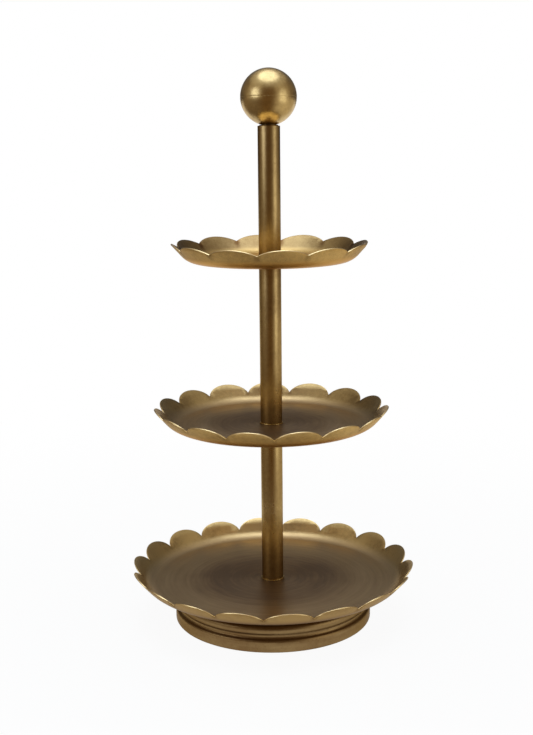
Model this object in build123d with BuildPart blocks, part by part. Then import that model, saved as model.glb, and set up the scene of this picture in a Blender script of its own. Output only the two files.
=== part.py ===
from build123d import *
import os
from math import cos, radians, sin, sqrt, tan

os.makedirs("parts", exist_ok=True)

# Three-tier cake stand in antique brass: three scalloped dished plates on a column of three tubes,
# with a moulded foot ring below and a hollow ball on top. Every length of the column screws on to
# the one below it, and each plate is clamped between two lengths.
# Sizes are in millimetres. The origin is the middle of the foot's underside, with +Z up.

# Sheet metal plates, all pressed to one rim profile
plate_sheet = 1.2
rim_height = 17.2
rim_slope = 48.0
rim_bend_radius = 20.0
trim_margin = 2.0

# Petals of each plate: how many, how far out the tips reach, how far the valleys between them cut in,
# and where the first valley lies, in degrees from the front, turning towards the right
top_petals = 12
top_tip_radius = 89.2
top_petal_depth = 4.5
top_valley_turn = -7.5
middle_petals = 15
middle_tip_radius = 108.0
middle_petal_depth = 7.5
middle_valley_turn = 1.4
bottom_petals = 18
bottom_tip_radius = 132.0
bottom_petal_depth = 8.0
bottom_valley_turn = -3.8

# Column tubes and the tapped plugs brazed into their ends
tube_diameter = 20.0
tube_wall = 1.2
lower_tube_length = 148.0
middle_tube_length = 148.0
upper_tube_length = 118.0
plug_length = 16.0
plug_clearance = 0.05
edge_break = 0.3

# Screwed joints of the column
stud_diameter = 8.0
column_pitch = 1.25
column_turns = 8
thread_clearance = 0.05
thread_lead = 0.6
stud_hole_clearance = 0.25
seat_washer_diameter = 21.6
seat_washer_thickness = 1.0

# Bolt that holds the lower tube to the bottom plate, with its two washers
bolt_head_width = 13.0
bolt_head_height = 5.3
flat_washer_diameter = 16.0
flat_washer_thickness = 1.6
spring_washer_diameter = 14.0
spring_washer_thickness = 2.0
spring_washer_slit = 1.2

# Foot ring, spun from sheet: a lip to stand on, an upright band with a round shoulder, then a groove,
# a bead and a hollow neck that run into each other, and a flange brazed under the bottom plate
foot_sheet = 1.2
foot_height = 34.6
foot_radius = 92.0
foot_lip = 7.0
foot_lip_bend = 2.0
foot_band_height = 9.3
foot_shoulder_radius = 3.0
foot_shoulder_turn = 60.0
foot_groove_radius = 3.0
foot_groove_turn = 103.0
foot_bead_radius = 5.0
foot_bead_turn = 113.0
foot_neck_radius = 6.0
foot_flange = 6.0

# Ball finial, spun in two halves that lap at the seam, on a turned collar
ball_diameter = 50.0
ball_sheet = 1.0
ball_seam_break = 0.08
ball_lap = 3.0
ball_lap_wall = 0.8
ball_lap_clearance = 0.1
collar_diameter = 16.8
collar_height = 0.7
spigot_diameter = 12.0
spigot_length = 8.0
spigot_clearance = 0.05
finial_stud_diameter = 6.0
finial_pitch = 1.0
finial_turns = 8

# Heights up the column, from the floor
bottom_underside = foot_height
lower_tube_base = bottom_underside + plate_sheet + seat_washer_thickness
middle_underside = lower_tube_base + lower_tube_length
middle_tube_base = middle_underside + plate_sheet + seat_washer_thickness
top_underside = middle_tube_base + middle_tube_length
upper_tube_base = top_underside + plate_sheet + seat_washer_thickness
upper_tube_top = upper_tube_base + upper_tube_length
collar_top = upper_tube_top + collar_height

# The neck turns back by whatever the curves below it leave over, so that the collar ends upright
foot_neck_turn = foot_shoulder_turn - foot_groove_turn + foot_bead_turn

# Sizes that follow from the fits
stud_hole_radius = stud_diameter / 2 + stud_hole_clearance
column_grip = column_pitch * column_turns + thread_lead
stud_reach = plate_sheet + seat_washer_thickness + column_grip
finial_grip = finial_pitch * finial_turns + thread_lead
ball_radius = ball_diameter / 2
spigot_hole_radius = spigot_diameter / 2 + spigot_clearance
ball_centre = collar_top + sqrt(ball_radius**2 - spigot_hole_radius**2)


# The outline of a plate's rim at one height: a ring of round petals that meet in sharp valleys
def petal_outline(petals, tip_radius, valley_radius, valley_turn):
    with BuildLine() as outline:
        for petal in range(petals):
            start = radians(valley_turn - 90 + petal * 360 / petals)
            crown = start + radians(180 / petals)
            end = start + radians(360 / petals)
            ThreePointArc(
                (valley_radius * cos(start), valley_radius * sin(start)),
                (tip_radius * cos(crown), tip_radius * sin(crown)),
                (valley_radius * cos(end), valley_radius * sin(end)),
            )
    return outline


# A dished plate: flat floor, round bend and sloping wall, trimmed square to the wall along the petals
def scalloped_plate(petals, tip_radius, petal_depth, valley_turn, underside):
    rise = tan(radians(rim_slope))
    fold_radius = tip_radius - rim_height / rise
    wall_over = petal_depth
    valley_radius = tip_radius - petal_depth
    valley_height = rim_height - petal_depth * rise
    with BuildPart() as plate:
        with BuildSketch(Plane.XZ):
            with BuildLine():
                FilletPolyline(
                    (stud_hole_radius, underside),
                    (fold_radius, underside),
                    (tip_radius + wall_over, underside + rim_height + wall_over * rise),
                    radius=rim_bend_radius,
                )
                offset(amount=plate_sheet, side=Side.LEFT)
            make_face()
        revolve(axis=Axis.Z)
        for height in (-trim_margin, rim_height + trim_margin):
            with BuildSketch(Plane.XY.offset(underside + height)):
                tip = tip_radius - (height - rim_height) * rise
                valley = valley_radius - (height - valley_height) * rise
                add(petal_outline(petals, tip, valley, valley_turn).line)
                make_face()
        loft(ruled=True, mode=Mode.INTERSECT)
    return plate


# A tube of the column, with its outer edges broken at both ends
def column_tube(base, length):
    with BuildPart() as tube:
        with BuildSketch(Plane.XY.offset(base)):
            Circle(tube_diameter / 2)
            Circle(tube_diameter / 2 - tube_wall, mode=Mode.SUBTRACT)
        extrude(amount=length)
        rims = tube.edges().filter_by(GeomType.CIRCLE).group_by(SortBy.RADIUS)[-1]
        chamfer(rims, length=edge_break)
    return tube


# A tapped plug, flush with the end of its tube
def end_plug(base, screw_diameter):
    with BuildPart() as plug:
        with BuildSketch(Plane.XY.offset(base)):
            Circle(tube_diameter / 2 - tube_wall - plug_clearance)
            Circle(screw_diameter / 2 + thread_clearance, mode=Mode.SUBTRACT)
        extrude(amount=plug_length)
        mouths = plug.edges().filter_by(GeomType.CIRCLE).group_by(SortBy.RADIUS)[0]
        chamfer(mouths, length=thread_lead)
    return plug


# A headless stud with pointed ends
def screw_stud(base, length, diameter):
    with BuildPart() as stud:
        with BuildSketch(Plane.XY.offset(base)):
            Circle(diameter / 2)
        extrude(amount=length)
        chamfer(stud.edges().filter_by(GeomType.CIRCLE), length=thread_lead)
    return stud


# A plain round washer
def round_washer(base, diameter, thickness):
    with BuildPart() as washer:
        with BuildSketch(Plane.XY.offset(base)):
            Circle(diameter / 2)
            Circle(stud_hole_radius, mode=Mode.SUBTRACT)
        extrude(amount=thickness)
    return washer


# Plates
bottom_plate = scalloped_plate(
    bottom_petals, bottom_tip_radius, bottom_petal_depth, bottom_valley_turn, bottom_underside
)
middle_plate = scalloped_plate(
    middle_petals, middle_tip_radius, middle_petal_depth, middle_valley_turn, middle_underside
)
top_plate = scalloped_plate(
    top_petals, top_tip_radius, top_petal_depth, top_valley_turn, top_underside
)

# Foot ring: its outer line from the lip up to the flange, thickened inwards
with BuildPart() as foot_ring:
    with BuildSketch(Plane.XZ):
        with BuildLine():
            lip = Line((foot_radius - foot_lip, 0), (foot_radius - foot_lip_bend, 0))
            lip_bend = JernArc(lip @ 1, lip % 1, foot_lip_bend, 90)
            band = Line(lip_bend @ 1, (foot_radius, foot_band_height))
            shoulder = JernArc(band @ 1, band % 1, foot_shoulder_radius, foot_shoulder_turn)
            groove = JernArc(shoulder @ 1, shoulder % 1, foot_groove_radius, -foot_groove_turn)
            bead = JernArc(groove @ 1, groove % 1, foot_bead_radius, foot_bead_turn)
            neck = JernArc(bead @ 1, bead % 1, foot_neck_radius, -foot_neck_turn)
            collar = Line(neck @ 1, ((neck @ 1).X, foot_height))
            Line(collar @ 1, ((neck @ 1).X - foot_flange, foot_height))
            offset(amount=foot_sheet, side=Side.LEFT)
        make_face()
    revolve(axis=Axis.Z)

# Bolt under the bottom plate, with a flat washer and a split spring washer
flat_washer_base = bottom_underside - flat_washer_thickness
spring_washer_base = flat_washer_base - spring_washer_thickness
bolt_shank = spring_washer_thickness + flat_washer_thickness + stud_reach
with BuildPart() as base_bolt:
    with BuildSketch(Plane.XY.offset(spring_washer_base)):
        RegularPolygon(radius=bolt_head_width / 2, side_count=6, major_radius=False)
    extrude(amount=-bolt_head_height)
    with BuildSketch(Plane.XY.offset(spring_washer_base)):
        Circle(stud_diameter / 2)
    extrude(amount=bolt_shank)
    chamfer(base_bolt.edges().filter_by(GeomType.CIRCLE).sort_by(Axis.Z)[-1], length=thread_lead)

base_flat_washer = round_washer(flat_washer_base, flat_washer_diameter, flat_washer_thickness)

with BuildPart() as base_spring_washer:
    with BuildSketch(Plane.XY.offset(spring_washer_base)):
        Circle(spring_washer_diameter / 2)
        Circle(stud_hole_radius, mode=Mode.SUBTRACT)
        with Locations((spring_washer_diameter / 2, 0)):
            Rectangle(spring_washer_diameter, spring_washer_slit, mode=Mode.SUBTRACT)
    extrude(amount=spring_washer_thickness)

# Column
lower_seat_washer = round_washer(
    bottom_underside + plate_sheet, seat_washer_diameter, seat_washer_thickness
)
middle_seat_washer = round_washer(
    middle_underside + plate_sheet, seat_washer_diameter, seat_washer_thickness
)
upper_seat_washer = round_washer(
    top_underside + plate_sheet, seat_washer_diameter, seat_washer_thickness
)
lower_tube = column_tube(lower_tube_base, lower_tube_length)
middle_tube = column_tube(middle_tube_base, middle_tube_length)
upper_tube = column_tube(upper_tube_base, upper_tube_length)
lower_tube_bottom_plug = end_plug(lower_tube_base, stud_diameter)
lower_tube_top_plug = end_plug(middle_underside - plug_length, stud_diameter)
middle_tube_bottom_plug = end_plug(middle_tube_base, stud_diameter)
middle_tube_top_plug = end_plug(top_underside - plug_length, stud_diameter)
upper_tube_bottom_plug = end_plug(upper_tube_base, stud_diameter)
upper_tube_top_plug = end_plug(upper_tube_top - plug_length, finial_stud_diameter)
lower_stud = screw_stud(middle_underside - plug_length, plug_length + stud_reach, stud_diameter)
middle_stud = screw_stud(top_underside - plug_length, plug_length + stud_reach, stud_diameter)

# Finial: the stud turns in the upper tube's top plug, and the collar's spigot fills the ball's hole
finial_stud = screw_stud(
    upper_tube_top - finial_grip,
    finial_grip + collar_height + spigot_length,
    finial_stud_diameter,
)

with BuildPart() as finial_collar:
    with BuildSketch(Plane.XY.offset(upper_tube_top)):
        Circle(collar_diameter / 2)
    extrude(amount=collar_height)
    with BuildSketch(Plane.XY.offset(collar_top)):
        Circle(spigot_diameter / 2)
    extrude(amount=spigot_length)
    with BuildSketch(Plane.XY.offset(upper_tube_top)):
        Circle(finial_stud_diameter / 2 + thread_clearance)
    extrude(amount=collar_height + spigot_length, mode=Mode.SUBTRACT)

inner_radius = ball_radius - ball_sheet
lap_radius = sqrt(inner_radius**2 - ball_lap**2) - ball_lap_clearance
with BuildPart() as finial_lower_half:
    with Locations((0, 0, ball_centre)):
        Sphere(ball_radius)
        Sphere(inner_radius, mode=Mode.SUBTRACT)
    split(bisect_by=Plane.XY.offset(ball_centre), keep=Keep.BOTTOM)
    with BuildSketch(Plane.XY.offset(collar_top)):
        Circle(spigot_hole_radius)
    extrude(amount=ball_radius, both=True, mode=Mode.SUBTRACT)
    seam = finial_lower_half.edges().filter_by(GeomType.CIRCLE).sort_by(SortBy.RADIUS)[-1]
    chamfer(seam, length=ball_seam_break)
    with BuildSketch(Plane.XY.offset(ball_centre)):
        Circle(inner_radius + ball_sheet / 2)
        Circle(lap_radius - ball_lap_wall, mode=Mode.SUBTRACT)
    extrude(amount=-ball_lap)
    with BuildSketch(Plane.XY.offset(ball_centre)):
        Circle(lap_radius)
        Circle(lap_radius - ball_lap_wall, mode=Mode.SUBTRACT)
    extrude(amount=ball_lap)

with BuildPart() as finial_upper_half:
    with Locations((0, 0, ball_centre)):
        Sphere(ball_radius)
        Sphere(inner_radius, mode=Mode.SUBTRACT)
    split(bisect_by=Plane.XY.offset(ball_centre), keep=Keep.TOP)
    seam = finial_upper_half.edges().filter_by(GeomType.CIRCLE).sort_by(SortBy.RADIUS)[-1]
    chamfer(seam, length=ball_seam_break)

# Names and files
foot_ring.part.label = "foot_ring"
export_step(foot_ring.part, "parts/foot_ring.step")
bottom_plate.part.label = "bottom_plate"
export_step(bottom_plate.part, "parts/bottom_plate.step")
base_bolt.part.label = "base_bolt"
export_step(base_bolt.part, "parts/base_bolt.step")
base_flat_washer.part.label = "base_flat_washer"
export_step(base_flat_washer.part, "parts/base_flat_washer.step")
base_spring_washer.part.label = "base_spring_washer"
export_step(base_spring_washer.part, "parts/base_spring_washer.step")
lower_seat_washer.part.label = "lower_seat_washer"
export_step(lower_seat_washer.part, "parts/lower_seat_washer.step")
lower_tube.part.label = "lower_tube"
export_step(lower_tube.part, "parts/lower_tube.step")
lower_tube_bottom_plug.part.label = "lower_tube_bottom_plug"
export_step(lower_tube_bottom_plug.part, "parts/lower_tube_bottom_plug.step")
lower_tube_top_plug.part.label = "lower_tube_top_plug"
export_step(lower_tube_top_plug.part, "parts/lower_tube_top_plug.step")
lower_stud.part.label = "lower_stud"
export_step(lower_stud.part, "parts/lower_stud.step")
middle_plate.part.label = "middle_plate"
export_step(middle_plate.part, "parts/middle_plate.step")
middle_seat_washer.part.label = "middle_seat_washer"
export_step(middle_seat_washer.part, "parts/middle_seat_washer.step")
middle_tube.part.label = "middle_tube"
export_step(middle_tube.part, "parts/middle_tube.step")
middle_tube_bottom_plug.part.label = "middle_tube_bottom_plug"
export_step(middle_tube_bottom_plug.part, "parts/middle_tube_bottom_plug.step")
middle_tube_top_plug.part.label = "middle_tube_top_plug"
export_step(middle_tube_top_plug.part, "parts/middle_tube_top_plug.step")
middle_stud.part.label = "middle_stud"
export_step(middle_stud.part, "parts/middle_stud.step")
top_plate.part.label = "top_plate"
export_step(top_plate.part, "parts/top_plate.step")
upper_seat_washer.part.label = "upper_seat_washer"
export_step(upper_seat_washer.part, "parts/upper_seat_washer.step")
upper_tube.part.label = "upper_tube"
export_step(upper_tube.part, "parts/upper_tube.step")
upper_tube_bottom_plug.part.label = "upper_tube_bottom_plug"
export_step(upper_tube_bottom_plug.part, "parts/upper_tube_bottom_plug.step")
upper_tube_top_plug.part.label = "upper_tube_top_plug"
export_step(upper_tube_top_plug.part, "parts/upper_tube_top_plug.step")
finial_stud.part.label = "finial_stud"
export_step(finial_stud.part, "parts/finial_stud.step")
finial_collar.part.label = "finial_collar"
export_step(finial_collar.part, "parts/finial_collar.step")
finial_lower_half.part.label = "finial_lower_half"
export_step(finial_lower_half.part, "parts/finial_lower_half.step")
finial_upper_half.part.label = "finial_upper_half"
export_step(finial_upper_half.part, "parts/finial_upper_half.step")
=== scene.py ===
# %% [markdown]
# # A tiered cake stand in antique brass
# The stand is three dished plates with petal rims on a column of tubes, a spun foot ring and a ball.
# Its metal is all one family: brass that was darkened with a patina and then rubbed back by hand.
# The shapes come from the frame that is loaded here, so this lesson is about finish, light and camera.

# %% Load the frame
import bpy
import bmesh
import math
from mathutils import Matrix, Vector


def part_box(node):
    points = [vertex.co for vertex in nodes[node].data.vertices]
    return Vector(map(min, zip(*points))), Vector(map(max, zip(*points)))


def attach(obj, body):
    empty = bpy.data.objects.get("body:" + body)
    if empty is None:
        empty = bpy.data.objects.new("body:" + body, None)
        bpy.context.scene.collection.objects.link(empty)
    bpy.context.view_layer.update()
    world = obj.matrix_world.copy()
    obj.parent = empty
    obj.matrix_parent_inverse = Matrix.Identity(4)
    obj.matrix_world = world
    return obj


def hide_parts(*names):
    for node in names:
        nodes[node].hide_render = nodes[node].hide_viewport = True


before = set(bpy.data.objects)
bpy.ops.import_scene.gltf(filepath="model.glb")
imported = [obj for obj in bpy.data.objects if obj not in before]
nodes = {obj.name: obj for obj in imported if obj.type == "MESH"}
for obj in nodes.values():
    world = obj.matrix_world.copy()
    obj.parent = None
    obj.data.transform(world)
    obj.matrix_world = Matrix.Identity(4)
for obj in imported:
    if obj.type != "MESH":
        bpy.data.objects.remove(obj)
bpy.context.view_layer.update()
print("pieces in the frame:", len(nodes))

# %% [markdown]
# ## Camera
# The photograph looks down at the stand by nearly eleven degrees, from a little over a metre away.
# The distance and the lens were worked out from how the three plates flatten with height, because
# a plate seen from higher up looks rounder. A small roll and turn put the column where it stands.

# %% Place the camera
picture_height = 735.0
lens_pixels = 1181.0
column_shift = 4.5
look_down = 10.654
lean = -0.56
camera_place = (0.0, -1.0638, 0.4382)
camera_data = bpy.data.cameras.new("camera")
camera_data.sensor_width = 36.0
camera_data.lens = lens_pixels * camera_data.sensor_width / picture_height
camera_data.clip_start = 0.05
camera_data.clip_end = 50.0
camera = bpy.data.objects.new("camera", camera_data)
bpy.context.scene.collection.objects.link(camera)
aim = Matrix.Rotation(math.atan2(column_shift, lens_pixels), 4, "Z")
pitch = Matrix.Rotation(math.radians(90 - look_down), 4, "X")
roll = Matrix.Rotation(math.radians(lean), 4, "Z")
camera.matrix_world = Matrix.Translation(camera_place) @ aim @ pitch @ roll
bpy.context.scene.camera = camera
print("lens in millimetres:", round(camera_data.lens, 2))

# %% [markdown]
# ## Smooth shading that keeps the corners
# Spun and drawn metal is smooth, but its corners are crisp. Shading everything smooth would smear the
# corners, and flat shading would show facets. A small geometry node group does both: it shades every
# face smooth, then keeps an edge sharp where its two faces meet at more than a set angle.

# %% Make the shading group
def smooth_by_angle(limit):
    group = bpy.data.node_groups.new("smooth_by_angle", "GeometryNodeTree")
    for way in ("INPUT", "OUTPUT"):
        group.interface.new_socket("Geometry", in_out=way, socket_type="NodeSocketGeometry")
    start = group.nodes.new("NodeGroupInput")
    faces = group.nodes.new("GeometryNodeSetShadeSmooth")
    edges = group.nodes.new("GeometryNodeSetShadeSmooth")
    edges.domain = "EDGE"
    angle = group.nodes.new("GeometryNodeInputMeshEdgeAngle")
    gentle = group.nodes.new("FunctionNodeCompare")
    gentle.operation = "LESS_THAN"
    gentle.inputs["B"].default_value = limit
    end = group.nodes.new("NodeGroupOutput")
    link = group.links.new
    link(start.outputs[0], faces.inputs["Geometry"])
    link(faces.outputs[0], edges.inputs["Geometry"])
    link(angle.outputs["Unsigned Angle"], gentle.inputs["A"])
    link(gentle.outputs[0], edges.inputs["Shade Smooth"])
    link(edges.outputs[0], end.inputs[0])
    return group


smoothing = smooth_by_angle(math.radians(32))
print("shading group:", smoothing.name)

# %% [markdown]
# ## Rounded sheet edges
# A pressed plate never ends in a knife edge: the cut rim is dressed with a file, and its thin round line
# catches the light all along the petals. The loaded meshes are loose triangles, so they are welded first,
# and then a small bevel runs along every sharp edge. The halves of the ball meet flush and get almost none.

# %% Finish the edges of every piece
sheet_edge = 0.00055
ball_edge = 0.00002
plain_edge = 0.0002
weld_reach = 0.00001
edge_radius = {"top_plate": sheet_edge, "middle_plate": sheet_edge, "bottom_plate": sheet_edge}
edge_radius["finial_lower_half"] = ball_edge
edge_radius["finial_upper_half"] = ball_edge
for name, piece in nodes.items():
    weld = piece.modifiers.new("weld", "WELD")
    weld.merge_threshold = weld_reach
    bevel = piece.modifiers.new("edge", "BEVEL")
    bevel.width = edge_radius.get(name, plain_edge)
    bevel.segments = 2
    bevel.limit_method = "ANGLE"
    bevel.angle_limit = math.radians(38)
    shading = piece.modifiers.new("shading", "NODES")
    shading.node_group = smoothing
print("edges finished on", len(nodes), "pieces")

# %% [markdown]
# ## A short hand for material nodes
# Every finish here is a small net of nodes. Wiring them one by one takes four lines a node, so a helper
# class keeps the material and its net together. The pattern is read from Object coordinates: each piece's
# mesh is in the frame's own metres, so a scratch or a speck has the same size on every piece.

# %% A net of nodes
class Net:
    def __init__(self, name):
        self.material = bpy.data.materials.new(name)
        self.material.use_nodes = True
        self.tree = self.material.node_tree
        self.tree.nodes.clear()
        texture = self.add("ShaderNodeTexCoord")
        self.place = texture.outputs["Object"]
        self.facing = texture.outputs["Normal"]

    def add(self, kind, **settings):
        node = self.tree.nodes.new(kind)
        for key, value in settings.items():
            setattr(node, key, value)
        return node

    def link(self, source, target):
        self.tree.links.new(source, target)

    def show(self, shader):
        self.link(shader, self.add("ShaderNodeOutputMaterial").inputs["Surface"])
        return self.material

    def axes(self, vector):
        node = self.add("ShaderNodeSeparateXYZ")
        self.link(vector, node.inputs[0])
        return node.outputs["X"], node.outputs["Y"], node.outputs["Z"]


print("net ready")

# %% [markdown]
# ## Patterns and blends
# Wear on metal is a sum of simple things: a cloudy pattern, a soft step from one value to another, a
# blend of two colours. Each gets one method, so a finish can be read as a short recipe. The method named
# sway lets a pattern push a value up and down by the same amount, so that the mean stays.

# %% A kit of patterns
class Finish(Net):
    def math(self, operation, a, b=None, clamp=False):
        node = self.add("ShaderNodeMath", operation=operation, use_clamp=clamp)
        for socket, value in zip(node.inputs, (a, b)):
            if isinstance(value, (int, float)):
                socket.default_value = value
            elif value is not None:
                self.link(value, socket)
        return node.outputs[0]

    def noise(self, vector, scale, detail=3.0, roughness=0.55):
        node = self.add("ShaderNodeTexNoise")
        node.inputs["Scale"].default_value = scale
        node.inputs["Detail"].default_value = detail
        node.inputs["Roughness"].default_value = roughness
        self.link(vector, node.inputs["Vector"])
        return node.outputs["Fac"]

    def sway(self, value, pattern, depth, clamp=False):
        centred = self.math("SUBTRACT", pattern, 0.5)
        return self.math("ADD", value, self.math("MULTIPLY", centred, depth), clamp)

    def spread(self, value, low, high, to_low=0.0, to_high=1.0):
        node = self.add("ShaderNodeMapRange", interpolation_type="SMOOTHSTEP")
        self.link(value, node.inputs["Value"])
        limits = (low, high, to_low, to_high)
        for key, number in zip(("From Min", "From Max", "To Min", "To Max"), limits):
            node.inputs[key].default_value = number
        return node.outputs["Result"]

    def blend(self, factor, a, b):
        node = self.add("ShaderNodeMix", data_type="RGBA")
        self.link(factor, node.inputs["Factor"])
        for socket, value in ((node.inputs["A"], a), (node.inputs["B"], b)):
            if isinstance(value, tuple):
                socket.default_value = (*value, 1.0)
            else:
                self.link(value, socket)
        return node.outputs["Result"]


print("pattern kit ready")

# %% [markdown]
# ## Marks of the lathe and the cloth
# Plates, foot and ball are spun on a lathe, which leaves faint rings round the axis. The tubes are drawn,
# so their marks run lengthwise. A stretched noise pattern gives the hairs. For the rings, a noise is read
# along the distance from the axis and, much more slowly, along the compass direction, so each ring breaks
# into long arcs. A direction comes back to itself after a full turn, so the rings have no seam.

# %% Helpers for hairs and rings
hair_scale = 18.0
arc_turn = 1.5


def hair_lines(finish, stretch):
    mapping = finish.add("ShaderNodeMapping")
    mapping.inputs["Scale"].default_value = stretch
    finish.link(finish.place, mapping.inputs["Vector"])
    return finish.noise(mapping.outputs["Vector"], hair_scale, 2.0)


def axis_distance(finish):
    x, y, z = finish.axes(finish.place)
    squares = finish.math("ADD", finish.math("POWER", x, 2.0), finish.math("POWER", y, 2.0))
    return finish.math("SQRT", squares), z


def outward(finish):
    level = finish.add("ShaderNodeVectorMath", operation="MULTIPLY")
    finish.link(finish.place, level.inputs[0])
    level.inputs[1].default_value = (1.0, 1.0, 0.0)
    unit = finish.add("ShaderNodeVectorMath", operation="NORMALIZE")
    finish.link(level.outputs[0], unit.inputs[0])
    return unit.outputs[0]


def lathe_rings(finish, radius, scale):
    turn = finish.add("ShaderNodeVectorMath", operation="SCALE")
    finish.link(outward(finish), turn.inputs[0])
    turn.inputs["Scale"].default_value = arc_turn / scale
    line = finish.add("ShaderNodeCombineXYZ")
    finish.link(radius, line.inputs["Z"])
    arcs = finish.add("ShaderNodeVectorMath", operation="ADD")
    finish.link(turn.outputs[0], arcs.inputs[0])
    finish.link(line.outputs[0], arcs.inputs[1])
    return finish.noise(arcs.outputs[0], scale, 3.0)


print("hairs and rings ready")

# %% [markdown]
# ## Antique brass
# The patina is a brown film that the polisher rubs off where a cloth can reach: bright on the rims, the
# tubes and the ball, dark in the corners. The finish is one number, how far the film is rubbed away, made
# of soft clouds, fine hairs, a mottle of a few millimetres and small dark specks.

# %% How far the film is rubbed away
cloud_scale = 22.0
mottle_scale = 280.0
speck_scale = 900.0
hair_depth = 0.30
mottle_depth = 0.80
speck_depth = 0.28


def rubbed_share(finish, rub, stretch):
    clouds = finish.noise(finish.place, cloud_scale, 4.0, 0.6)
    specks = finish.noise(finish.place, speck_scale, 2.0, 0.6)
    mottle = finish.noise(finish.place, mottle_scale, 3.0, 0.65)
    hairs = hair_lines(finish, stretch)
    share = finish.spread(clouds, 0.30, 0.62, rub * 0.75, rub * 1.20)
    share = finish.sway(share, hairs, hair_depth)
    share = finish.sway(share, mottle, mottle_depth * rub)
    dark_specks = finish.spread(specks, 0.62, 0.80, 0.0, speck_depth)
    share = finish.math("SUBTRACT", share, dark_specks, clamp=True)
    fine, coarse = finish.math("MULTIPLY", specks, 0.4), finish.math("MULTIPLY", hairs, 0.6)
    return share, finish.math("ADD", coarse, fine)


print("clouds of about", round(1000 / cloud_scale), "mm, mottle of about", round(1000 / mottle_scale), "mm")

# %% [markdown]
# ## The surface of the metal
# The same number drives colour and gloss together, because bare metal is both paler and smoother than the
# film. Hairs and specks also raise the surface a little, which breaks up the reflections as a cloth does.
# At a grazing angle clean brass turns white, but a brown film dims that, so the edge colour is set too.

# %% Make a metal and dress pieces in it
film_reflection = (0.60, 0.52, 0.44)
scratch_strength = 0.06
scratch_depth = 0.0006


def metal_surface(finish, colour, gloss, grain, edge):
    bump = finish.add("ShaderNodeBump")
    bump.inputs["Strength"].default_value = scratch_strength
    bump.inputs["Distance"].default_value = scratch_depth
    finish.link(grain, bump.inputs["Height"])
    surface = finish.add("ShaderNodeBsdfPrincipled")
    surface.inputs["Metallic"].default_value = 1.0
    surface.inputs["Specular Tint"].default_value = (*edge, 1.0)
    finish.link(colour, surface.inputs["Base Color"])
    finish.link(gloss, surface.inputs["Roughness"])
    finish.link(bump.outputs["Normal"], surface.inputs["Normal"])
    return finish.show(surface.outputs[0])


def rubbed_metal(name, bright, film, rub, roughness, stretch, edge=film_reflection):
    finish = Finish(name)
    share, grain = rubbed_share(finish, rub, stretch)
    colour = finish.blend(share, film, bright)
    gloss = finish.spread(share, 0.0, 1.0, roughness + 0.12, roughness - 0.02)
    return metal_surface(finish, colour, gloss, grain, edge)


def dress(material, *names):
    for name in names:
        slots = nodes[name].data.materials
        slots.clear()
        slots.append(material)
    print(material.name, "on", len(names), "pieces")


print("reflection at the edge of the film:", film_reflection)

# %% [markdown]
# ## Creases between the petals
# Where two petals meet, the press leaves a small crease, and a short dark smudge lies under each valley:
# partly patina that the cloth slides over, partly painted shade where the petals meet at an angle. The
# compass bearing of a point, counted in petals, tells how near it is to the next valley. Its sine closes
# on itself, so the pattern has no seam.

# %% Find the nearness to a valley
def compass_bearing(finish):
    x, y = finish.axes(finish.place)[:2]
    return finish.math("ARCTAN2", x, finish.math("MULTIPLY", y, -1.0))


def valley_nearness(finish, petals, first_valley):
    turned = finish.math("SUBTRACT", compass_bearing(finish), math.radians(first_valley))
    wave = finish.math("SINE", finish.math("MULTIPLY", turned, petals / 2))
    return finish.spread(finish.math("ABSOLUTE", wave), 0.02, 0.34, 1.0, 0.0)


print("valley pattern ready")

# %% [markdown]
# ## Floors of the plates
# The cloth reaches a plate's rim but hardly its floor, so the floor keeps a smoky brown film, darkest
# round the column, with streaks that follow the lathe and a few soft blotches. The top plate is small and
# easy to reach, so its floor is rubbed to a golden tone.

# %% Colour a floor
smoky_film = (0.195, 0.139, 0.094)
floor_brown = (0.53, 0.38, 0.200)
golden_floor = (0.70, 0.48, 0.185)
ring_scale = 300.0
ring_depth = 0.62
blotch_scale = 14.0
blotch_depth = 0.70


def floor_colour(finish, radius, reach, polish, tone):
    rings = lathe_rings(finish, radius, ring_scale)
    blotches = finish.noise(finish.place, blotch_scale, 3.0)
    clear = finish.spread(radius, reach * 0.36, reach * 0.72, polish, polish + 0.70)
    clear = finish.sway(clear, rings, ring_depth)
    clear = finish.sway(clear, blotches, blotch_depth, clamp=True)
    return finish.blend(clear, smoky_film, tone), finish.spread(clear, 0.0, 1.0, 0.50, 0.36)


print("floor tones:", smoky_film, floor_brown, golden_floor)

# %% [markdown]
# ## Rims of the plates
# Faces of a rim that look down get more bare, orange brass on the upper plates, a painted reflection of the
# warm brass below them, and more dark film on the bottom plate, painted shade over the foot. The filed cut
# edge gets a painted highlight, brighter than bare brass. It has no colour of its own in the mesh, but it
# is the only part of a rim that looks up without leaning in to the column.

# %% Colour a rim
bare_brass = (0.58, 0.435, 0.200)
# brass for faces that look down: a painted reflection of the warm brass below them
underside_reflection_brass = (0.64, 0.445, 0.165)
brown_film = (0.135, 0.069, 0.025)
# painted highlight on the filed cut edge, brighter than bare brass
painted_edge_highlight = (0.80, 0.63, 0.34)
# dark smudge under each valley: partly patina, partly painted shade
crease_patina_and_shade_depth = 0.38


def cut_edge_highlight_mask(finish, upward):
    lean_out = finish.add("ShaderNodeVectorMath", operation="DOT_PRODUCT")
    finish.link(finish.facing, lean_out.inputs[0])
    finish.link(outward(finish), lean_out.inputs[1])
    not_inward = finish.spread(lean_out.outputs["Value"], -0.52, -0.10)
    return finish.math("MULTIPLY", not_inward, finish.spread(upward, 0.05, 0.30))


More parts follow.
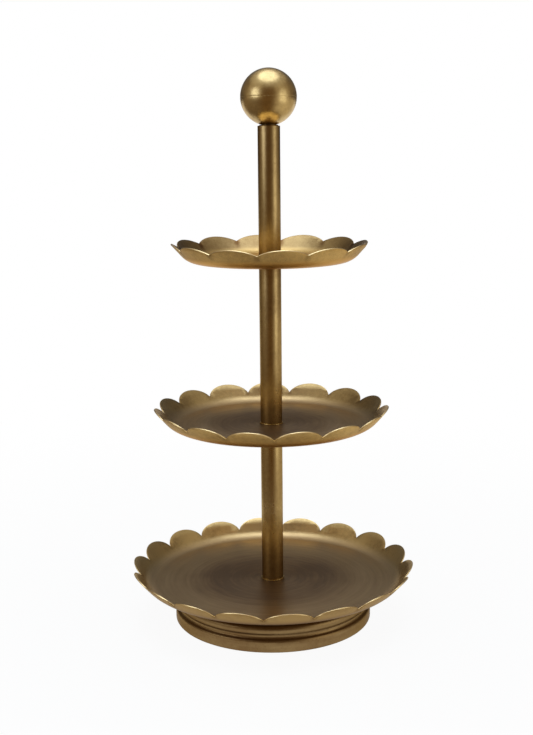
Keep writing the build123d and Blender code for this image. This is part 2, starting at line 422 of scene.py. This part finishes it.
def rim_colour(finish, height, petals, first_valley, rub, underside_painted_light):
    share, grain = rubbed_share(finish, rub, (60, 60, 60))
    upward = finish.axes(finish.facing)[2]
    outside = finish.spread(upward, -0.3, 0.1, 1.0, 0.0)
    # faces that look down: lighter on the upper plates as painted reflection, darker on the bottom plate as
    # painted shade
    underside_paint_factor = finish.spread(upward, -0.3, 0.1, underside_painted_light, 1.0)
    share = finish.math("MULTIPLY", share, underside_paint_factor, clamp=True)
    # darken the rim near each valley: patina and painted shade
    crease_patina_and_shade = finish.spread(height, 0.004, 0.012, 0.0, crease_patina_and_shade_depth)
    crease_patina_and_shade = finish.math("MULTIPLY", valley_nearness(finish, petals, first_valley), crease_patina_and_shade)
    share = finish.math("SUBTRACT", share, crease_patina_and_shade, clamp=True)
    colour = finish.blend(share, brown_film, finish.blend(outside, bare_brass, underside_reflection_brass))
    # painted highlight along the filed cut edge of the rim
    colour = finish.blend(cut_edge_highlight_mask(finish, upward), colour, painted_edge_highlight)
    return colour, outside, grain


print("rim tones:", bare_brass, underside_reflection_brass, brown_film)

# %% [markdown]
# ## Plates
# A plate is one piece of metal, so one material has to change from floor to rim: the height above the
# floor tells it where the rim begins to rise. Under the outer bend the upper plates get an amber painted
# reflection, for the warm brass below them, and the bottom plate, over the foot, gets painted shade in the
# colour of its dark film.

# %% Dress the three plates
# amber painted reflection under the outer bend of the upper plates, for the warm brass below them
amber_painted_reflection = (0.58, 0.315, 0.070)
floor_edge = (0.86, 0.77, 0.68)
bend_paint_share = 0.95


def plate_finish(tier, petals, first_valley, polish, tone, rub, underside_painted_light, bend_painted_light_tone):
    low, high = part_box(tier + "_plate")
    finish = Finish(tier + "_plate_brass")
    radius, place_height = axis_distance(finish)
    height = finish.math("SUBTRACT", place_height, low.z)
    rise = finish.spread(height, 0.0008, 0.0080)
    floor_tone, floor_gloss = floor_colour(finish, radius, high.x, polish, tone)
    rim_tone, outside, grain = rim_colour(finish, height, petals, first_valley, rub, underside_painted_light)
    rim_gloss = finish.spread(outside, 0.0, 1.0, 0.32, 0.52)
    colour = finish.blend(rise, floor_tone, rim_tone)
    # painted light under the outer bend: painted reflection on the upper plates, painted shade on the
    # bottom plate
    bend_paint_mask = finish.math("MULTIPLY", outside, finish.spread(height, 0.0020, 0.0095, bend_paint_share, 0.0))
    colour = finish.blend(bend_paint_mask, colour, bend_painted_light_tone)
    gloss = finish.add("ShaderNodeMix", data_type="FLOAT")
    for key, source in (("Factor", rise), ("A", floor_gloss), ("B", rim_gloss)):
        finish.link(source, gloss.inputs[key])
    return metal_surface(finish, colour, gloss.outputs["Result"], grain, floor_edge)


# bottom plate: painted shade on its bend and on faces that look down; upper plates: painted reflection
# there
bottom_brass = plate_finish("bottom", petals=18, first_valley=-3.8, polish=0.06, tone=floor_brown,
                            rub=0.95, underside_painted_light=0.40, bend_painted_light_tone=brown_film)
middle_brass = plate_finish("middle", petals=15, first_valley=1.4, polish=0.08, tone=floor_brown,
                            rub=0.66, underside_painted_light=1.10, bend_painted_light_tone=amber_painted_reflection)
top_brass = plate_finish("top", petals=12, first_valley=-7.5, polish=0.75, tone=golden_floor,
                         rub=0.40, underside_painted_light=1.95, bend_painted_light_tone=amber_painted_reflection)
dress(bottom_brass, "bottom_plate")
dress(middle_brass, "middle_plate")
dress(top_brass, "top_plate")

# %% [markdown]
# ## Column, foot and ball
# The ball is handled most and is rubbed brightest, so its edges also shine nearly white. The tubes keep
# some film, the upper one a little more, with lengthwise hairs from drawing. The foot and the collar under
# the ball are rubbed little and stay dark; on the foot this is partly patina and partly painted shade, for
# the shadow under the bottom plate. The turned pieces get hairs that run round them.

# %% Dress the column, the foot and the ball
lengthwise = (14, 14, 0.6)
around = (1, 1, 14)
polished_edge = (1.0, 0.92, 0.85)


def brass(name, rub, roughness, stretch, edge=film_reflection):
    return rubbed_metal(name, bare_brass, brown_film, rub, roughness, stretch, edge)


dress(brass("tube_brass", 0.57, 0.27, lengthwise), "lower_tube", "middle_tube")
dress(brass("upper_tube_brass", 0.46, 0.27, lengthwise), "upper_tube")
ball_brass = brass("ball_brass", 0.86, 0.30, around, polished_edge)
dress(ball_brass, "finial_lower_half", "finial_upper_half")
# the foot's dark film is partly patina, partly painted shade for the shadow under the bottom plate
dress(brass("foot_brass", 0.18, 0.27, around), "foot_ring")
dress(brass("collar_brass", 0.30, 0.34, around), "finial_collar")
seat_washers = [name for name in nodes if name.endswith("_seat_washer")]
dress(brass("seat_brass", 0.80, 0.28, around), *seat_washers)

# %% [markdown]
# ## Hidden fixings
# The tapped plugs inside the tubes were never given a patina, and the bolt, studs and plain washers are
# zinc plated steel. They show when the stand is taken apart or turned over. The same recipe serves with
# other colours: plain brass, and grey with a dull darker film.

# %% Dress plugs and steel
plain_brass, dull_brass = (0.60, 0.43, 0.19), (0.30, 0.19, 0.07)
zinc_grey, dull_zinc = (0.50, 0.50, 0.49), (0.20, 0.20, 0.19)
plug_brass = rubbed_metal("plug_brass", plain_brass, dull_brass, 0.75, 0.30, around)
dress(plug_brass, *[name for name in nodes if name.endswith("_plug")])
zinc_steel = rubbed_metal("zinc_steel", zinc_grey, dull_zinc, 0.75, 0.34, around)
dress(zinc_steel, "base_flat_washer", "base_spring_washer")
dress(zinc_steel, "base_bolt", "lower_stud", "middle_stud", "finial_stud")

# %% [markdown]
# ## Threads
# Two studs, the ball's stud and a bolt hold the column together, and their threads show when a length is
# unscrewed. A thread is one tooth that climbs by its pitch each turn, so the outline of a tooth is spun
# about the axis while it rises, and the rod is then cut square at both ends. The teeth keep the frame's
# diameter, which is what fits the bores, and their tips are turned down at the ends to find the hole.

# %% Spin a thread
steps_a_turn = 32
tooth_depth = 0.61
tooth = [(0.0, 0.0), (0.0, 0.12), (1.0, 0.44), (1.0, 0.56), (0.0, 0.88), (0.0, 1.0)]
spare_turns = 2
lead = 0.0006


def threaded_rod(low, high, radius, pitch):
    rod = bmesh.new()
    turns = math.ceil((high - low) / pitch) + 2 * spare_turns
    outline = []
    for rise, share in tooth:
        out = radius - tooth_depth * pitch * (1.0 - rise)
        outline.append(rod.verts.new((out, 0.0, low + (share - spare_turns) * pitch)))
    edges = [rod.edges.new(pair) for pair in zip(outline, outline[1:])]
    bmesh.ops.spin(rod, geom=outline + edges, cent=(0, 0, 0), axis=(0, 0, 1),
                   dvec=(0, 0, pitch / steps_a_turn), angle=math.radians(360 * turns),
                   steps=steps_a_turn * turns)
    bmesh.ops.remove_doubles(rod, verts=rod.verts[:], dist=0.000001)
    for height, side in ((low, -1), (high, 1)):
        whole = [*rod.verts, *rod.edges, *rod.faces]
        bmesh.ops.bisect_plane(rod, geom=whole, plane_co=(0, 0, height), plane_no=(0, 0, side),
                               clear_outer=True)
    bmesh.ops.holes_fill(rod, edges=rod.edges[:])
    for point in rod.verts:
        inside = min(point.co.z - low, high - point.co.z)
        limit = radius - max(0.0, lead - inside)
        point.co.xy *= min(1.0, limit / point.co.xy.length)
    bmesh.ops.recalc_face_normals(rod, faces=rod.faces[:])
    return rod


print("tooth outline of", len(tooth), "points")

# %% [markdown]
# ## Screws of the column
# The threaded pieces stand for the plain ones of the frame and move with the same bodies. The bolt also
# has its six sided head, which lies under the bottom plate on its two washers.

# %% Put the screws in
column_screw = 0.004
ball_screw = 0.003
coarse_pitch = 0.00125
fine_pitch = 0.001
head_height = 0.0053
overlap = 0.0003


def add_screw(node, body, radius, pitch, head=0.0):
    low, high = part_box(node)
    rod = threaded_rod(low.z + max(0.0, head - overlap), high.z, radius, pitch)
    if head:
        turn = Matrix.Rotation(math.radians(30), 4, "Z")
        middle = Matrix.Translation((0.0, 0.0, low.z + head / 2))
        made = bmesh.ops.create_cone(rod, cap_ends=True, segments=6, radius1=high.x, radius2=high.x,
                                     depth=head, matrix=middle @ turn)["verts"]
        corners = [edge for edge in rod.edges if edge.verts[0] in made]
        bmesh.ops.bevel(rod, geom=corners, offset=plain_edge, segments=2, profile=0.5, affect="EDGES")
    mesh = bpy.data.meshes.new(node + "_threaded")
    rod.to_mesh(mesh)
    open_edges = sum(not edge.is_manifold for edge in rod.edges)
    rod.free()
    screw = bpy.data.objects.new(node + "_threaded", mesh)
    bpy.context.scene.collection.objects.link(screw)
    mesh.materials.append(zinc_steel)
    screw.modifiers.new("shading", "NODES").node_group = smoothing
    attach(screw, body)
    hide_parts(node)
    print(screw.name, "faces", len(mesh.polygons), "open edges", open_edges)


add_screw("lower_stud", "lower_column", column_screw, coarse_pitch)
add_screw("middle_stud", "middle_column", column_screw, coarse_pitch)
add_screw("finial_stud", "finial_lift", ball_screw, fine_pitch)
add_screw("base_bolt", "base", column_screw, coarse_pitch, head_height)

# %% [markdown]
# ## White that does not light
# The stand is shown on white. A white floor lit by lamps alone would need far more light than the brass
# can bear, so floor and world count as white only for rays that come from the lens, a reflection or a
# clear material. Light Path tells those rays apart, and two maximum nodes join its three answers.

# %% Helpers for the background
def background_rays(tree):
    path = tree.nodes.new("ShaderNodeLightPath")
    first = tree.nodes.new("ShaderNodeMath")
    first.operation = "MAXIMUM"
    second = tree.nodes.new("ShaderNodeMath")
    second.operation = "MAXIMUM"
    tree.links.new(path.outputs["Is Camera Ray"], first.inputs[0])
    tree.links.new(path.outputs["Is Glossy Ray"], first.inputs[1])
    tree.links.new(first.outputs[0], second.inputs[0])
    tree.links.new(path.outputs["Is Transmission Ray"], second.inputs[1])
    return second.outputs[0]


def add_stage(name, shape):
    mesh = bpy.data.meshes.new(name)
    shape.to_mesh(mesh)
    shape.free()
    piece = bpy.data.objects.new(name, mesh)
    bpy.context.scene.collection.objects.link(piece)
    return piece


print("background helpers ready")

# %% [markdown]
# ## Floor
# The floor is one large sheet of matt paper under the foot. It glows white for background rays and stays
# ordinary paper for the rest. Near the foot a small share of paper is left in the white, which is enough
# to hold the soft shadow under the stand.

# %% Lay the floor
paper_white = (0.82, 0.82, 0.82, 1.0)
pure_white = (1.0, 1.0, 1.0, 1.0)
white_at_foot = 0.94
sheet = bmesh.new()
bmesh.ops.create_grid(sheet, x_segments=1, y_segments=1, size=15.0)
floor = add_stage("floor", sheet)
paper = Finish("floor_paper")
matt = paper.add("ShaderNodeBsdfDiffuse")
matt.inputs["Color"].default_value = paper_white
glow = paper.add("ShaderNodeEmission")
glow.inputs["Color"].default_value = pure_white
distance = axis_distance(paper)[0]
clear_of_foot = paper.spread(distance, 0.15, 0.9, white_at_foot, 1.0)
white_share = paper.math("MULTIPLY", background_rays(paper.tree), clear_of_foot)
mix = paper.add("ShaderNodeMixShader")
for socket, source in zip(mix.inputs, (white_share, matt.outputs[0], glow.outputs[0])):
    paper.link(source, socket)
floor.data.materials.append(paper.show(mix.outputs[0]))
print("floor laid at height", round(floor.location.z, 3))

# %% [markdown]
# ## Lamps
# The ball works like a mirror and shows where the light came from: one large soft box overhead, a small
# bright one on the left and a taller, dimmer one low on the right. Round area lamps of those sizes give
# the same soft patches on the ball and the same stripes down the tubes.

# %% Hang the lamps
def soft_lamp(name, size, place, target, power, tint):
    data = bpy.data.lights.new(name, "AREA")
    data.shape = "ELLIPSE"
    data.size, data.size_y = size
    data.energy = power
    data.color = tint
    lamp = bpy.data.objects.new(name, data)
    bpy.context.scene.collection.objects.link(lamp)
    lamp.location = place
    lamp.rotation_euler = (Vector(target) - Vector(place)).to_track_quat("-Z", "Y").to_euler()
    area = math.pi / 4 * size[0] * size[1]
    print(name, "watts to a square metre", round(power / area, 2))


daylight = (0.88, 1.0, 1.18)
pale_green = (0.95, 1.0, 0.98)
soft_lamp("lamp_above", (1.35, 1.50), (0.0, 0.0, 1.75), (0.0, 0.0, 0.3), 11.4, daylight)
soft_lamp("lamp_left", (0.8, 0.75), (-1.15, -0.75, 0.80), (0.0, 0.0, 0.35), 2.9, daylight)
soft_lamp("lamp_right", (0.8, 1.3), (1.21, -0.65, 0.40), (0.0, 0.0, 0.3), 2.6, pale_green)

# %% [markdown]
# ## Cards round the set
# Polished metal shows the whole room, and a plain white world would wash it out. Cards that the lens never
# sees give it something to show. Each card is one edge spun about the column, which makes a wall, a table
# top or a ceiling from two points. It casts no shadow and lights nothing but reflections.

# %% Make a card
def bearing_paint(name, tones):
    paint = Finish(name)
    turn = paint.math("ADD", paint.math("DIVIDE", compass_bearing(paint), 2 * math.pi), 0.5)
    ramp = paint.add("ShaderNodeValToRGB")
    stops = ramp.color_ramp.elements
    while len(stops) < len(tones):
        stops.new(0.5)
    for stop, (degrees, tone) in zip(stops, tones):
        stop.position = degrees / 360 + 0.5
        stop.color = (*tone, 1.0)
    paint.link(turn, ramp.inputs[0])
    light = paint.add("ShaderNodeEmission")
    paint.link(ramp.outputs[0], light.inputs["Color"])
    return paint.show(light.outputs[0])


def spun_card(name, inner, outer, sweep, paint):
    shape = bmesh.new()
    start = Matrix.Rotation(math.radians(-sweep / 2), 4, "Z")
    ends = [shape.verts.new(start @ Vector((0.0, -out, up))) for out, up in (inner, outer)]
    edge = shape.edges.new(ends)
    bmesh.ops.spin(shape, geom=[*ends, edge], cent=(0, 0, 0), axis=(0, 0, 1),
                   angle=math.radians(sweep), steps=72)
    card = add_stage(name, shape)
    card.visible_camera = False
    card.visible_shadow = False
    card.visible_diffuse = False
    card.data.materials.append(paint)
    print(name, "faces", len(card.data.polygons))


print("card maker ready")

# %% [markdown]
# ## Tones of the room
# The ball and the tubes show a warm dark room behind the lens, paler sides, and dark strips to either side
# of the white background. Each card is painted by compass bearing, with the front at zero and the right at
# ninety degrees, so a tone can be put where the photograph shows it in the metal.

# %% Choose the tones
dark_room = (0.17, 0.098, 0.040)
dim_side = (0.24, 0.18, 0.12)
pale_side = (0.50, 0.42, 0.31)
bright_side = (0.72, 0.63, 0.49)
black_flag = (0.105, 0.093, 0.085)
cool_back = (0.13, 0.145, 0.18)
hazy_back = (0.16, 0.145, 0.135)
ceiling_cream = (0.58, 0.53, 0.45)
room_tones = [
    (-105, dim_side), (-85, pale_side), (-38, pale_side), (-24, dark_room),
    (24, dark_room), (38, pale_side), (85, pale_side), (105, dim_side),
]
wall_tones = [
    (-165, black_flag), (-125, black_flag), *room_tones, (125, black_flag), (165, black_flag),
]
high_tones = [
    (-180, cool_back), (-158, cool_back), (-145, hazy_back), *room_tones,
    (145, hazy_back), (158, cool_back), (180, cool_back),
]
table_tones = [
    (-130, dim_side), (-60, dim_side), (-20, dark_room),
    (15, dark_room), (50, bright_side), (130, bright_side),
]
ceiling_tones = [(-180, ceiling_cream), (180, ceiling_cream)]
print("stops on wall, high wall and table:", len(wall_tones), len(high_tones), len(table_tones))

# %% [markdown]
# ## The room
# A low wall leaves a gap at the back, where the metal shows the white background, and a high wall closes
# the room above it. The table is brown in front and pale on the right. Its rings reach further round with
# distance: close to the stand the lens sees the floor on both sides, and further out only a sector at the
# back, and what the lens sees has to stay white in the metal.

# %% Stand the cards round the set
far = 6.0
table_height = 0.003
wall_split = 1.32
wall_top = 5.5
low_paint = bearing_paint("low_wall_paint", wall_tones)
spun_card("low_wall", (far, table_height), (far, wall_split), 330, low_paint)
high_paint = bearing_paint("high_wall_paint", high_tones)
spun_card("high_wall", (far, wall_split), (far, wall_top), 360, high_paint)
ceiling_paint = bearing_paint("ceiling_paint", ceiling_tones)
spun_card("ceiling", (0.01, wall_top), (far, wall_top), 360, ceiling_paint)
table_paint = bearing_paint("table_paint", table_tones)
table_rings = [
    ("near_table", 0.26, 0.32, 200),
    ("side_table", 0.32, 0.45, 236),
    ("far_table", 0.45, far, 264),
]
for name, inner, outer, sweep in table_rings:
    spun_card(name, (inner, table_height), (outer, table_height), sweep, table_paint)

# %% [markdown]
# ## World
# The world is the white behind everything. It counts as white for the lens and for reflections, and gives
# the rest of the scene only a low even fill, so that it adds no strong light of its own.

# %% Fill the world
fill_strength = 0.45
world = bpy.data.worlds.new("studio")
bpy.context.scene.world = world
world.use_nodes = True
sky = world.node_tree
sky.nodes.clear()
choose = sky.nodes.new("ShaderNodeMixShader")
sky.links.new(background_rays(sky), choose.inputs[0])
for socket, strength in ((choose.inputs[1], fill_strength), (choose.inputs[2], 1.0)):
    light = sky.nodes.new("ShaderNodeBackground")
    light.inputs["Color"].default_value = pure_white
    light.inputs["Strength"].default_value = strength
    sky.links.new(light.outputs[0], socket)
sky.links.new(choose.outputs[0], sky.nodes.new("ShaderNodeOutputWorld").inputs["Surface"])
bpy.context.scene.view_settings.view_transform = "Standard"
print("world fill", fill_strength)
